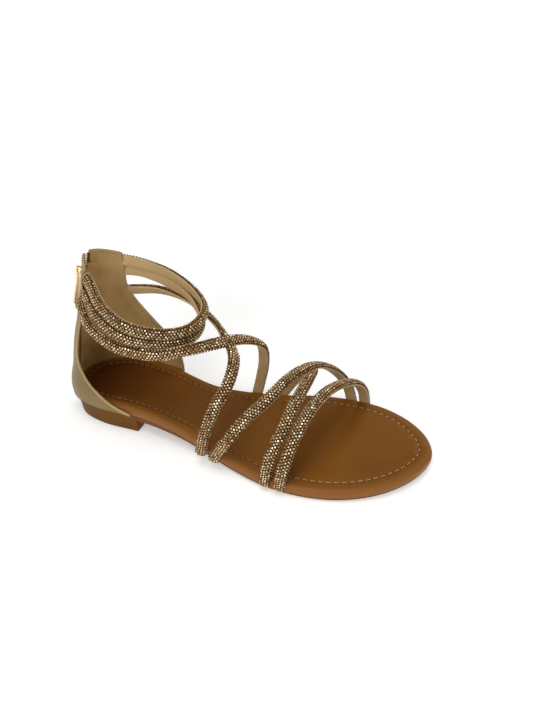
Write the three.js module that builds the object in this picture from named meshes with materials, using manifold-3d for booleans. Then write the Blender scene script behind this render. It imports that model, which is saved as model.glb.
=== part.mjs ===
// Flat gladiator sandal, right foot. Millimetres, +Z up, +X towards the toe, +Y towards the inner
// (medial) side. The origin is on the floor under the middle of the heel seat.
import * as THREE from 'three';
import { mergeVertices } from 'three/addons/utils/BufferGeometryUtils.js';
import Module from 'manifold-3d';

const wasm = await Module();
wasm.setup();

// ---------------------------------------------------------------- driving sizes
const GAP = 0.3;                    // air left between neighbouring pieces
const FOOTBED = { thick: 6, round: 3 };
const SEAT = { height: 14.6, levelTo: 19, downAt: 128, foreHeight: 2 };   // footbed's underside
const TOE_SPRING = { from: 150, length: 67, rise: 3.5 };
const HEEL = { breast: 28, inset: 1.8 };                  // the block under the heel seat
const SHANK = { atBreast: 4.5, atBall: 2 };                // thickness of the sole in front of it
const STRAP = { width: 7.4, height: 3.3 };
const STRAP_TUCK = 2.6;             // straps turn in under the footbed this far above the sole
const HUG = { until: 20, freeFrom: 40 };     // levels where the quarter leaves the footprint's outline
const WALL = 1.6;                   // leatherette and lining of the heel quarter
const ZIP = { slot: 6.2, tape: 5.4, tapeThick: 1.1, bottom: 34, top: 112.5 };
const SLIDER = { at: 99, length: 9, width: 6.6, height: 1.9, clear: 0.4 };
const BAIL = { reach: 3.2, thick: 1, width: 1.6, window: 2.2 };
const PULL = { length: 26, width: 8.4, neck: 4.4, thick: 1.1, bar: 0.6, hole: 5, holeWidth: 2.6 };

// Outline of the footbed, seen from above.
const FOOTPRINT = [
  { ahead: -26, outer: -12, inner: 10 },
  { ahead: -18, outer: -20, inner: 20 },
  { ahead: 0, outer: -25.5, inner: 27.5 },
  { ahead: 32, outer: -26.5, inner: 25.5 },
  { ahead: 67, outer: -30.5, inner: 20.5 },
  { ahead: 102, outer: -40, inner: 29.5 },
  { ahead: 132, outer: -46, inner: 39.5 },
  { ahead: 157, outer: -45, inner: 42.5 },
  { ahead: 177, outer: -39.5, inner: 40.5 },
  { ahead: 194, outer: -30, inner: 33 },
  { ahead: 206, outer: -18.5, inner: 23 },
  { ahead: 212.5, outer: -8, inner: 13.5 },
];
const HEEL_BACK = { ahead: -28, side: -1 };
const TOE_TIP = { ahead: 215.5, side: 2.5 };

// Heel quarter, one row for each level: where its back is, how it widens, where it is cut in front.
const QUARTER = [
  { up: 15, back: -28.8, middle: 0, side: 1, half: 27.6, outerFront: 29, innerFront: 38 },
  { up: 20, back: -28.6, middle: 0, side: 1, half: 27.4, outerFront: 16, innerFront: 38.5 },
  { up: 28, back: -27.8, middle: 1, side: 1, half: 26.8, outerFront: 4, innerFront: 38 },
  { up: 37, back: -26.4, middle: 3, side: 1, half: 26, outerFront: -6, innerFront: 36.5 },
  { up: 46, back: -24.4, middle: 6, side: 1, half: 25, outerFront: -12.5, innerFront: 32.5 },
  { up: 58, back: -21, middle: 10, side: 1, half: 23.6, outerFront: -12, innerFront: 23 },
  { up: 72, back: -16.4, middle: 19, side: 1.5, half: 21.6, outerFront: -8.5, innerFront: 13 },
  { up: 85, back: -12, middle: 28, side: 2, half: 20.4, outerFront: -4.5, innerFront: 9.5 },
  { up: 98, back: -8, middle: 34, side: 2.5, half: 19.8, outerFront: 1.5, innerFront: 11 },
  { up: 108, back: -5.2, middle: 37, side: 3, half: 19.6, outerFront: 1, innerFront: 11.5 },
  { up: 114, back: -3.6, middle: 38, side: 3, half: 19.6, outerFront: 1.5, innerFront: 12 },
];

// Inner face of each strap, along its middle line, from one end to the other. Lift rolls the face up.
const ANKLE_TOP = [
  { ahead: 4, side: 14.3, up: 105.2 },
  { ahead: 12.5, side: 18.5, up: 103 },
  { ahead: 21, side: 24.5, up: 98.5 },
  { ahead: 37.5, side: 28, up: 91.5 },
  { ahead: 55.5, side: 23.5, up: 84 },
  { ahead: 68, side: 11, up: 80 },
  { ahead: 67, side: -7.5, up: 78 },
  { ahead: 55.5, side: -21, up: 81 },
  { ahead: 37, side: -27, up: 87, lift: 0.2 },
  { ahead: 21, side: -22, up: 94, lift: 0.55 },
  { ahead: 9.5, side: -13, up: 100.8, lift: 0.8 },
  { ahead: 0, side: -5.8, up: 104.5, lift: 0.8 },
];
const ANKLE_LOW = [
  { ahead: 4, side: 14.6, up: 98.2 },
  { ahead: 12, side: 19, up: 96 },
  { ahead: 20, side: 25, up: 92.5 },
  { ahead: 36.5, side: 28, up: 85 },
  { ahead: 54, side: 23, up: 77.5 },
  { ahead: 65.5, side: 9.5, up: 71.5 },
  { ahead: 65, side: -8, up: 70 },
  { ahead: 54, side: -20.5, up: 73.5 },
  { ahead: 36, side: -27, up: 78.5, lift: 0.2 },
  { ahead: 19, side: -23.5, up: 85, lift: 0.5 },
  { ahead: 7.5, side: -15.5, up: 91, lift: 0.7 },
  { ahead: -2, side: -7.4, up: 95.3, lift: 0.7 },
];
const INSTEP_OUTER_TO_INNER = [
  { ahead: -7, side: -6.2, up: 86.5, lift: 0.6 },
  { ahead: 2, side: -16.5, up: 81.5, lift: 0.6 },
  { ahead: 11, side: -23.5, up: 78, lift: 0.45 },
  { ahead: 28.5, side: -28, up: 71.8, lift: 0.2 },
  { ahead: 53, side: -25.5, up: 68.8 },
  { ahead: 71, side: -16, up: 70 },
  { ahead: 83.5, side: -3.5, up: 68.5 },
  { ahead: 94, side: 10, up: 63.5 },
  { ahead: 100.8, side: 20.5, up: 53.5 },
  { ahead: 100, side: 25.5, up: 37 },
  { ahead: 96.5, side: 27.5, up: 22 },
  { ahead: 92, side: 27.5, up: 5 },
];
const INSTEP_INNER_TO_OUTER = [
  { ahead: 3.5, side: 17.4, up: 81.2, lift: 0.3 },
  { ahead: 12, side: 20.5, up: 80.5, lift: 0.3 },
  { ahead: 28, side: 27.5, up: 78.5, lift: 0.6 },
  { ahead: 46, side: 27, up: 75, lift: 0.9 },
  { ahead: 64, side: 20, up: 71, lift: 0.6 },
  { ahead: 80, side: 8, up: 67.5, lift: 0 },
  { ahead: 93, side: -4, up: 60.5, lift: 0 },
  { ahead: 97, side: -19.5, up: 54.5, lift: 0 },
  { ahead: 92.3, side: -32, up: 43, lift: 0 },
  { ahead: 87, side: -38, up: 27, lift: 0 },
  { ahead: 80.5, side: -36, up: 5, lift: 0 },
];
const TOE_LONG = [
  { ahead: 89, side: -37.5, up: 5 },
  { ahead: 101, side: -38.5, up: 25 },
  { ahead: 110.5, side: -31.5, up: 37.5 },
  { ahead: 120.5, side: -19.5, up: 45.8 },
  { ahead: 129, side: 0, up: 50.5 },
  { ahead: 137, side: 19.5, up: 46 },
  { ahead: 145, side: 34, up: 34 },
  { ahead: 152.5, side: 40.5, up: 20 },
  { ahead: 157, side: 42, up: 2 },
];
const TOE_RETURN = [
  { ahead: 125.5, side: -44, up: 1 },
  { ahead: 129.5, side: -42.5, up: 22.5 },
  { ahead: 134, side: -33, up: 36.5 },
  { ahead: 136.5, side: -17.5, up: 44.8 },
  { ahead: 138, side: 0, up: 47.5 },
  { ahead: 136.5, side: 15, up: 45 },
  { ahead: 129.5, side: 26, up: 37 },
  { ahead: 119, side: 33, up: 21.5 },
  { ahead: 106, side: 32, up: 2 },
];
const TOE_FRONT = [
  { ahead: 134.5, side: -44.5, up: 1 },
  { ahead: 138.5, side: -43, up: 21.5 },
  { ahead: 141.5, side: -33, up: 34 },
  { ahead: 145, side: -17.5, up: 41 },
  { ahead: 150, side: 0, up: 42.8 },
  { ahead: 156.5, side: 16.5, up: 38.6 },
  { ahead: 161.5, side: 31, up: 28.8 },
  { ahead: 164, side: 40, up: 16.5 },
  { ahead: 165.5, side: 41.5, up: 2 },
];

// Bones of the last: straps and quarter face away from these two lines.
const LEG_LINE = new THREE.Line3(new THREE.Vector3(34, 0, 130), new THREE.Vector3(40, 0, 30));
const FOOT_LINE = new THREE.Line3(new THREE.Vector3(30, 0, 14), new THREE.Vector3(210, -2, 9));

// ---------------------------------------------------------------- small helpers
const clamp = THREE.MathUtils.clamp;
const lerp = THREE.MathUtils.lerp;

function material(name, color, roughness, metalness = 0) {
  return new THREE.MeshStandardMaterial({ name, color, roughness, metalness });
}

function toSolid(geometry) {
  const bare = new THREE.BufferGeometry();
  bare.setAttribute('position', geometry.getAttribute('position').clone());
  if (geometry.index) bare.setIndex(geometry.index.clone());
  const merged = mergeVertices(bare, 1e-4);
  return new wasm.Manifold(new wasm.Mesh({
    numProp: 3,
    vertProperties: new Float32Array(merged.getAttribute('position').array),
    triVerts: new Uint32Array(merged.index.array),
  }));
}

// A strap end that is cut by the quarter can leave crumbs behind: only the strap is kept.
function largest(solid) {
  return solid.decompose().reduce((best, body) => (body.volume() > best.volume() ? body : best));
}

function toGeometry(solid) {
  const mesh = largest(solid).getMesh();
  const geometry = new THREE.BufferGeometry();
  geometry.setAttribute('position', new THREE.Float32BufferAttribute(mesh.vertProperties, 3));
  geometry.setIndex(new THREE.Uint32BufferAttribute(mesh.triVerts, 1));
  return geometry;
}

// A closed skin over a row of rings that all have the same number of points.
function loft(rings) {
  const count = rings[0].length;
  const points = rings.flat();
  const faces = [];
  for (let i = 0; i + 1 < rings.length; i += 1) {
    for (let j = 0; j < count; j += 1) {
      const a = i * count + j;
      const b = i * count + ((j + 1) % count);
      faces.push(a, b, a + count, b, b + count, a + count);
    }
  }
  const last = (rings.length - 1) * count;
  for (let j = 1; j + 1 < count; j += 1) {
    faces.push(0, j + 1, j);
    faces.push(last, last + j, last + j + 1);
  }
  return closed(points, faces);
}

// The geometry with its faces turned outwards, whichever way they were listed.
function closed(points, faces) {
  let volume = 0;
  for (let i = 0; i < faces.length; i += 3) {
    const [a, b, c] = [points[faces[i]], points[faces[i + 1]], points[faces[i + 2]]];
    volume += a.dot(new THREE.Vector3().crossVectors(b, c));
  }
  const turned = volume < 0 ? faces.slice().reverse() : faces;
  const coordinates = points.flatMap((point) => point.toArray());
  const geometry = new THREE.BufferGeometry();
  geometry.setAttribute('position', new THREE.Float32BufferAttribute(coordinates, 3));
  geometry.setIndex(turned);
  return geometry;
}

// Smooth value between the rows of a table, read along one of its columns.
function between(rows, along, at, column) {
  const last = rows.length - 1;
  if (at <= rows[0][along]) return rows[0][column];
  if (at >= rows[last][along]) return rows[last][column];
  const i = rows.findIndex((row) => row[along] > at) - 1;
  const slope = (k) => {
    const low = rows[Math.max(k - 1, 0)];
    const high = rows[Math.min(k + 1, last)];
    return (high[column] - low[column]) / (high[along] - low[along]);
  };
  const span = rows[i + 1][along] - rows[i][along];
  const t = (at - rows[i][along]) / span;
  const t2 = t * t;
  const t3 = t2 * t;
  return rows[i][column] * (2 * t3 - 3 * t2 + 1) + slope(i) * span * (t3 - 2 * t2 + t)
    + rows[i + 1][column] * (3 * t2 - 2 * t3) + slope(i + 1) * span * (t3 - t2);
}

// ---------------------------------------------------------------- the last's plan and profile
const outlineCurve = new THREE.CatmullRomCurve3([
  new THREE.Vector3(HEEL_BACK.ahead, HEEL_BACK.side, 0),
  ...FOOTPRINT.map((row) => new THREE.Vector3(row.ahead, row.outer, 0)),
  new THREE.Vector3(TOE_TIP.ahead, TOE_TIP.side, 0),
  ...FOOTPRINT.map((row) => new THREE.Vector3(row.ahead, row.inner, 0)).reverse(),
], true, 'centripetal');
const outline = outlineCurve.getPoints(900);

// Outer and inner edge of the footprint at one distance ahead.
function edges(ahead) {
  const crossings = [];
  for (let i = 0; i + 1 < outline.length; i += 1) {
    const [a, b] = [outline[i], outline[i + 1]];
    if ((a.x - ahead) * (b.x - ahead) <= 0 && a.x !== b.x) {
      crossings.push(lerp(a.y, b.y, (ahead - a.x) / (b.x - a.x)));
    }
  }
  return { outer: Math.min(...crossings), inner: Math.max(...crossings) };
}

function footbedUnder(ahead) {
  const t = clamp((ahead - SEAT.levelTo) / (SEAT.downAt - SEAT.levelTo), 0, 1);
  const spring = clamp((ahead - TOE_SPRING.from) / TOE_SPRING.length, 0, 1);
  return lerp(SEAT.height, SEAT.foreHeight, t * t * (3 - 2 * t)) + TOE_SPRING.rise * spring * spring;
}

function soleUnder(ahead) {
  if (ahead < HEEL.breast) return 0;
  const t = clamp((ahead - HEEL.breast) / (SEAT.downAt - HEEL.breast), 0, 1);
  return Math.max(footbedUnder(ahead) - lerp(SHANK.atBreast, SHANK.atBall, t), 0);
}

// Stations from heel to toe, close together where the outline turns round.
const ENDS = [0.15, 0.8, 2, 4, 7, 11];
const MIDDLE_STATIONS = 22;
const stations = [
  ...ENDS.map((step) => HEEL_BACK.ahead + step),
  ...Array.from({ length: MIDDLE_STATIONS }, (_, i) => lerp(-10, 200, i / (MIDDLE_STATIONS - 1))),
  ...ENDS.map((step) => TOE_TIP.ahead - step).reverse(),
];

// One slab of the sole: rim lists how far in from the edge and how high each rim point is.
function slab(ahead, grow, rim) {
  const { outer, inner } = edges(ahead);
  const reach = Math.max((inner - outer) / 2 - 0.4, 0);
  const side = (row, sign) => {
    const inset = Math.min(row.inset, reach);
    const edge = sign < 0 ? outer - grow + inset : inner + grow - inset;
    return new THREE.Vector3(ahead, edge, row.up);
  };
  return [...rim.map((row) => side(row, -1)), ...rim.map((row) => side(row, 1)).reverse()];
}

// ---------------------------------------------------------------- footbed and sole
function footbedSolid(grow) {
  const rings = stations.map((ahead) => {
    const low = footbedUnder(ahead) + GAP - grow;
    const high = footbedUnder(ahead) + FOOTBED.thick + grow;
    const round = FOOTBED.round;
    return slab(ahead, grow, [
      { inset: 0.8, up: low },
      { inset: 0, up: low + 0.8 },
      { inset: 0, up: high - round },
      { inset: round * 0.3, up: high - round * 0.3 },
      { inset: round, up: high },
    ]);
  });
  return toSolid(loft(rings));
}

function soleSolid() {
  const withBreast = [...stations, HEEL.breast - 0.05, HEEL.breast + 0.05].sort((a, b) => a - b);
  const rings = withBreast.map((ahead) => {
    const low = soleUnder(ahead);
    const high = footbedUnder(ahead);
    const underHeel = ahead < HEEL.breast;
    return slab(ahead, 0, [
      { inset: underHeel ? HEEL.inset : 1.6, up: low },
      { inset: underHeel ? HEEL.inset - 0.5 : 0.9, up: low + 0.7 },
      { inset: 0.4, up: high - 0.5 },
      { inset: 0.6, up: high },
    ]);
  });
  return toSolid(loft(rings));
}

// ---------------------------------------------------------------- heel quarter
function quarterPoint(up, turn, depth, grow) {
  const row = (column) => between(QUARTER, 'up', up, column);
  const front = (turn < 0 ? row('outerFront') : row('innerFront')) + 2 * grow;
  const ahead = lerp(row('back'), front, turn * turn);
  const rearReach = row('middle') - row('back');
  const out = clamp((row('middle') - ahead) / rearReach, 0, 1);
  const half = row('half') * Math.sqrt(1 - out * out);
  const narrowing = 0.05 * Math.max(ahead - row('middle'), 0);
  const free = row('side') + Math.sign(turn) * (half - narrowing);
  const footprint = edges(Math.max(ahead, HEEL_BACK.ahead + 0.1));
  const hugging = turn < 0 ? footprint.outer - WALL - 2 * GAP : footprint.inner + WALL + 2 * GAP;
  const rise = THREE.MathUtils.smoothstep(up, HUG.until, HUG.freeFrom);
  const atBack = clamp(1 - 3 * Math.abs(turn), 0, 1);
  const side = lerp(hugging, free, Math.max(rise, atBack));
  const sideways = Math.sqrt(1 - out * out) / row('half');
  const outward = new THREE.Vector3(-out / rearReach, Math.sign(turn) * sideways, 0);
  if (turn === 0) outward.set(-1, 0, 0);
  return new THREE.Vector3(ahead, side, up).addScaledVector(outward.normalize(), -depth);
}

const QUARTER_LEVELS = 16;
const QUARTER_TURNS = 26;
const QUARTER_FROM = 15.2;
const QUARTER_TOP = { fronts: 108, rise: 5.5 };   // the top edge climbs from both wings to the zip

// Rings of the wall from bottom to top: along the outside, then back along the inside.
function quarterRings(grow) {
  const rings = [];
  const place = (level, j, depth) => {
    const turn = (2 * j) / QUARTER_TURNS - 1;
    const top = QUARTER_TOP.fronts + QUARTER_TOP.rise * (1 - turn * turn);
    return quarterPoint(lerp(QUARTER_FROM - grow, top + grow, level), turn, depth, grow);
  };
  for (let i = 0; i <= QUARTER_LEVELS; i += 1) {
    const ring = [];
    for (let j = 0; j <= QUARTER_TURNS; j += 1) ring.push(place(i / QUARTER_LEVELS, j, -grow));
    for (let j = QUARTER_TURNS; j >= 0; j -= 1) ring.push(place(i / QUARTER_LEVELS, j, WALL + grow));
    rings.push(ring);
  }
  return rings;
}

// Rings of a U-shaped wall do not fill in as a fan, so the top and bottom rims are strips.
function wallLoft(rings) {
  const count = rings[0].length;
  const half = count / 2;
  const points = rings.flat();
  const faces = [];
  for (let i = 0; i + 1 < rings.length; i += 1) {
    for (let j = 0; j < count; j += 1) {
      const a = i * count + j;
      const b = i * count + ((j + 1) % count);
      faces.push(a, b, a + count, b, b + count, a + count);
    }
  }
  const top = (rings.length - 1) * count;
  for (let j = 0; j + 1 < half; j += 1) {
    const k = count - 1 - j;
    faces.push(j, k, j + 1, j + 1, k, k - 1);
    faces.push(top + j, top + j + 1, top + k, top + j + 1, top + k - 1, top + k);
  }
  return closed(points, faces);
}

// An upright strip along the middle of the back, between two depths from the outer skin.
function backStrip(width, outside, inside, from, to, levels = 12) {
  const rings = [];
  for (let i = 0; i <= levels; i += 1) {
    const up = lerp(from, to, i / levels);
    const back = between(QUARTER, 'up', up, 'back');
    const side = between(QUARTER, 'up', up, 'side');
    rings.push([
      new THREE.Vector3(back + outside, side - width / 2, up),
      new THREE.Vector3(back + inside, side - width / 2, up),
      new THREE.Vector3(back + inside, side + width / 2, up),
      new THREE.Vector3(back + outside, side + width / 2, up),
    ]);
  }
  return toSolid(loft(rings));
}

// ---------------------------------------------------------------- straps
const STRAP_SECTION = [
  { across: -0.5, out: 0 },
  { across: -0.5, out: 0.35 },
  { across: -0.34, out: 0.8 },
  { across: 0, out: 1 },
  { across: 0.34, out: 0.8 },
  { across: 0.5, out: 0.35 },
  { across: 0.5, out: 0 },
];
const STRAP_STEPS = 30;

function awayFromLast(point) {
  const sum = new THREE.Vector3();
  for (const line of [LEG_LINE, FOOT_LINE]) {
    const away = point.clone().sub(line.closestPointToPoint(point, true, new THREE.Vector3()));
    const distance = away.length();
    sum.addScaledVector(away, 1 / distance ** 5);
  }
  return sum.normalize();
}

function strapSolid(rows, grow = 0) {
  const points = rows.map((row) => new THREE.Vector3(row.ahead, row.side, row.up));
  const curve = new THREE.CatmullRomCurve3(points, false, 'centripetal');
  const rolls = rows.map((row) => new THREE.Vector3(0, 0, row.lift ?? 0));
  const lifts = new THREE.CatmullRomCurve3(rolls, false, 'catmullrom');
  const rings = [];
  for (let i = 0; i <= STRAP_STEPS; i += 1) {
    const t = curve.getUtoTmapping(i / STRAP_STEPS);
    const centre = curve.getPoint(t);
    const along = curve.getTangent(t);
    const away = awayFromLast(centre);
    away.add(lifts.getPoint(t));
    const out = away.addScaledVector(along, -away.dot(along)).normalize();
    const across = new THREE.Vector3().crossVectors(along, out);
    rings.push(STRAP_SECTION.map((corner) => centre.clone()
      .addScaledVector(across, corner.across * (STRAP.width + 2 * grow))
      .addScaledVector(out, corner.out * (STRAP.height + 2 * grow) - grow)));
  }
  return toSolid(loft(rings));
}

// ---------------------------------------------------------------- zip slider and its pull tab
const sliderBack = between(QUARTER, 'up', SLIDER.at, 'back');
const sliderSide = between(QUARTER, 'up', SLIDER.at, 'side');
const lowerBack = between(QUARTER, 'up', SLIDER.at - PULL.length, 'back');
const lean = Math.atan2(sliderBack - lowerBack, PULL.length);
const zipUp = new THREE.Vector3(Math.sin(lean), 0, Math.cos(lean));
const zipOut = new THREE.Vector3(-Math.cos(lean), 0, Math.sin(lean));

// A point on the zip's own axes: along it, outwards from the quarter, and to the side.
function zipPoint(along, out, side) {
  return new THREE.Vector3(sliderBack, sliderSide + side, SLIDER.at)
    .addScaledVector(zipUp, along)
    .addScaledVector(zipOut, out);
}

// A plate cut from an outline of {along, across} and given its thickness outwards.
function zipPlate(shape, outFrom, outTo) {
  const settings = { depth: outTo - outFrom, bevelEnabled: false, curveSegments: 10 };
  const geometry = new THREE.ExtrudeGeometry(shape, settings);
  const position = geometry.getAttribute('position');
  for (let i = 0; i < position.count; i += 1) {
    const point = zipPoint(position.getY(i), outFrom + position.getZ(i), -position.getX(i));
    position.setXYZ(i, point.x, point.y, point.z);
  }
  return toSolid(geometry);
}

function sliderShape() {
  const { length, width } = SLIDER;
  const shape = new THREE.Shape();
  shape.moveTo(-width * 0.28, -length / 2);
  shape.lineTo(width * 0.28, -length / 2);
  shape.quadraticCurveTo(width * 0.34, 0, width / 2, length * 0.3);
  shape.lineTo(width * 0.3, length / 2);
  shape.lineTo(-width * 0.3, length / 2);
  shape.lineTo(-width / 2, length * 0.3);
  shape.quadraticCurveTo(-width * 0.34, 0, -width * 0.28, -length / 2);
  return shape;
}

const bodyTop = SLIDER.clear + SLIDER.height;
const barOut = bodyTop + BAIL.window / 2;       // the pull turns about this height over the quarter

function bailSolid() {
  const windowTop = bodyTop + BAIL.window;
  const loop = rectangle(BAIL.width, 2 * BAIL.reach);
  const eye = rectangle(BAIL.width + 2, 2 * (BAIL.reach - BAIL.thick));
  return zipPlate(loop, bodyTop - 0.4, windowTop + BAIL.thick).subtract(zipPlate(eye, bodyTop, windowTop));
}

function rectangle(width, length) {
  const shape = new THREE.Shape();
  shape.moveTo(-width / 2, -length / 2);
  shape.lineTo(width / 2, -length / 2);
  shape.lineTo(width / 2, length / 2);
  shape.lineTo(-width / 2, length / 2);
  return shape;
}

function pullSolid() {
  const { length, width, neck, bar, hole, holeWidth, thick } = PULL;
  const shape = new THREE.Shape();
  shape.moveTo(-neck / 2, bar);
  shape.lineTo(-neck / 2, -hole - 1);
  shape.quadraticCurveTo(-width / 2, -length * 0.55, -width / 2, -length + width / 2);
  shape.absarc(0, -length + width / 2, width / 2, Math.PI, 2 * Math.PI, false);
  shape.quadraticCurveTo(width / 2, -length * 0.55, neck / 2, -hole - 1);
  shape.lineTo(neck / 2, bar);
  const eye = new THREE.Path();
  eye.moveTo(-holeWidth / 2, -bar);
  eye.lineTo(holeWidth / 2, -bar);
  eye.lineTo(holeWidth / 2, -hole);
  eye.lineTo(-holeWidth / 2, -hole);
  shape.holes.push(eye);
  return zipPlate(shape, barOut - thick / 2, barOut + thick / 2);
}

// ---------------------------------------------------------------- assembly
const leatherBrown = material('footbed leatherette', 0x8a5a2c, 0.5);
const soleBrown = material('moulded sole', 0x5b3413, 0.6);
const champagne = material('champagne leatherette', 0xa3957a, 0.42, 0.2);
const stones = material('stone-covered strap', 0x8f7350, 0.35, 0.2);
const tapeGrey = material('zip tape', 0x3a352e, 0.8);
const gold = material('gold plating', 0xc9a05a, 0.3, 1);

// Everything lower than the footbed's underside, so that strap ends stop at the sole.
function belowFootbed() {
  const rings = stations.map((ahead) => {
    const top = footbedUnder(ahead) + STRAP_TUCK;
    return [
      new THREE.Vector3(ahead, -70, -20),
      new THREE.Vector3(ahead, 70, -20),
      new THREE.Vector3(ahead, 70, top),
      new THREE.Vector3(ahead, -70, top),
    ];
  });
  return toSolid(loft(rings));
}

const footbedRoom = footbedSolid(GAP).add(belowFootbed());
const zipSlot = backStrip(ZIP.slot, -6, WALL + 6, ZIP.bottom, ZIP.top + 6);
const quarter = toSolid(wallLoft(quarterRings(0))).subtract(zipSlot).subtract(footbedRoom);
const quarterRoom = toSolid(wallLoft(quarterRings(GAP)));
const ankleTop = strapSolid(ANKLE_TOP).subtract(quarterRoom);
const ankleTopRoom = strapSolid(ANKLE_TOP, GAP);
const ankleLow = strapSolid(ANKLE_LOW).subtract(quarterRoom).subtract(ankleTopRoom);
const ankleLowRoom = strapSolid(ANKLE_LOW, GAP);
const instep = strapSolid(INSTEP_OUTER_TO_INNER).add(strapSolid(INSTEP_INNER_TO_OUTER))
  .subtract(quarterRoom).subtract(ankleTopRoom).subtract(ankleLowRoom)
  .subtract(footbedRoom);
const instepRoom = strapSolid(INSTEP_OUTER_TO_INNER, GAP).add(strapSolid(INSTEP_INNER_TO_OUTER, GAP));
const toe = strapSolid(TOE_LONG).add(strapSolid(TOE_RETURN))
  .subtract(instepRoom).subtract(footbedRoom);
const toeRoom = strapSolid(TOE_LONG, GAP).add(strapSolid(TOE_RETURN, GAP));
const toeFront = strapSolid(TOE_FRONT).subtract(toeRoom).subtract(footbedRoom);
const tape = backStrip(ZIP.tape, 0.2, 0.2 + ZIP.tapeThick, ZIP.bottom + GAP, ZIP.top);
const slider = zipPlate(sliderShape(), SLIDER.clear, bodyTop).add(bailSolid());

const pieces = [
  { name: 'sole_unit', solid: soleSolid(0), finish: soleBrown },
  { name: 'footbed', solid: footbedSolid(0), finish: leatherBrown },
  { name: 'heel_quarter', solid: quarter, finish: champagne },
  { name: 'ankle_strap_top', solid: ankleTop, finish: stones },
  { name: 'ankle_strap_low', solid: ankleLow, finish: stones },
  { name: 'instep_cross_straps', solid: instep, finish: stones },
  { name: 'toe_cross_straps', solid: toe, finish: stones },
  { name: 'toe_front_strap', solid: toeFront, finish: stones },
  { name: 'zip_tape', solid: tape, finish: tapeGrey },
  { name: 'zip_slider', solid: slider, finish: gold },
  { name: 'zip_pull', solid: pullSolid(), finish: gold },
];

const group = new THREE.Group();
for (const { name, solid, finish } of pieces) {
  const mesh = new THREE.Mesh(toGeometry(solid), finish.clone());
  mesh.name = name;
  group.add(mesh);
}

export default group;
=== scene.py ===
# %% [markdown]
# # A flat gladiator sandal
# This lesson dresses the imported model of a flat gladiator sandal, right foot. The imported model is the
# fixed frame: it says where each piece is and what moves. Blender adds what the frame leaves out: the
# stones on the straps, the linings, the rounded rim of the footbed, stitches, the zip's teeth, and a
# finish for every surface. The first lines load that frame and are always the same.

# %% Load the frame
import math

import bpy
import numpy as np
from mathutils import Matrix, Vector


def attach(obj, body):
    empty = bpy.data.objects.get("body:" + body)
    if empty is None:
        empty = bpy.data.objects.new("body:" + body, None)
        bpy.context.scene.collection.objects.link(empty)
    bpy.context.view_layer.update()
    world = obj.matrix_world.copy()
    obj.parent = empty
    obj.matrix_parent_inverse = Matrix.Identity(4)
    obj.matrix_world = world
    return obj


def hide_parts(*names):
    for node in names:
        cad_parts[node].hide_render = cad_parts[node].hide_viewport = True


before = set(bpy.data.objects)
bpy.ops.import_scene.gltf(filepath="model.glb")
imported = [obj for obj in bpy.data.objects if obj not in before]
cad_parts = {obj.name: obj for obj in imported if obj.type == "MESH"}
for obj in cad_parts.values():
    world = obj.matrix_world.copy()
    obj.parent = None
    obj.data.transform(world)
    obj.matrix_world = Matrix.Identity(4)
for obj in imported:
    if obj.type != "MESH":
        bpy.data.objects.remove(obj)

MM = 0.001
scene = bpy.context.scene
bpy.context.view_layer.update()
chance = np.random.default_rng(7)
print("CAD nodes:", sorted(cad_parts))

# %% [markdown]
# ## Sizes that the pieces share
# A shoemaker works from a few patterns: the outline of the insole, the profile of the last from the
# side, the pattern of the quarter, and the line that each strap follows over the last. They are the
# same tables that the CAD model was made from, in millimetres: ahead (towards the toe), side (towards
# the inner side of the foot) and up.

# %% The patterns
FOOTPRINT = [  # ahead, outer edge, inner edge
    (-26, -12, 10), (-18, -20, 20), (0, -25.5, 27.5), (32, -26.5, 25.5), (67, -30.5, 20.5),
    (102, -40, 29.5), (132, -46, 39.5), (157, -45, 42.5), (177, -39.5, 40.5), (194, -30, 33),
    (206, -18.5, 23), (212.5, -8, 13.5)]
HEEL_BACK, TOE_TIP = (-28, -1), (215.5, 2.5)
QUARTER_COLUMNS = ("up", "back", "middle", "side", "half", "outer_front", "inner_front")
QUARTER = [
    (15, -28.8, 0, 1, 27.6, 29, 38), (20, -28.6, 0, 1, 27.4, 16, 38.5), (28, -27.8, 1, 1, 26.8, 4, 38),
    (37, -26.4, 3, 1, 26, -6, 36.5), (46, -24.4, 6, 1, 25, -12.5, 32.5), (58, -21, 10, 1, 23.6, -12, 23),
    (72, -16.4, 19, 1.5, 21.6, -8.5, 13), (85, -12, 28, 2, 20.4, -4.5, 9.5), (98, -8, 34, 2.5, 19.8, 1.5, 11),
    (108, -5.2, 37, 3, 19.6, 1, 11.5), (114, -3.6, 38, 3, 19.6, 1.5, 12)]
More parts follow.
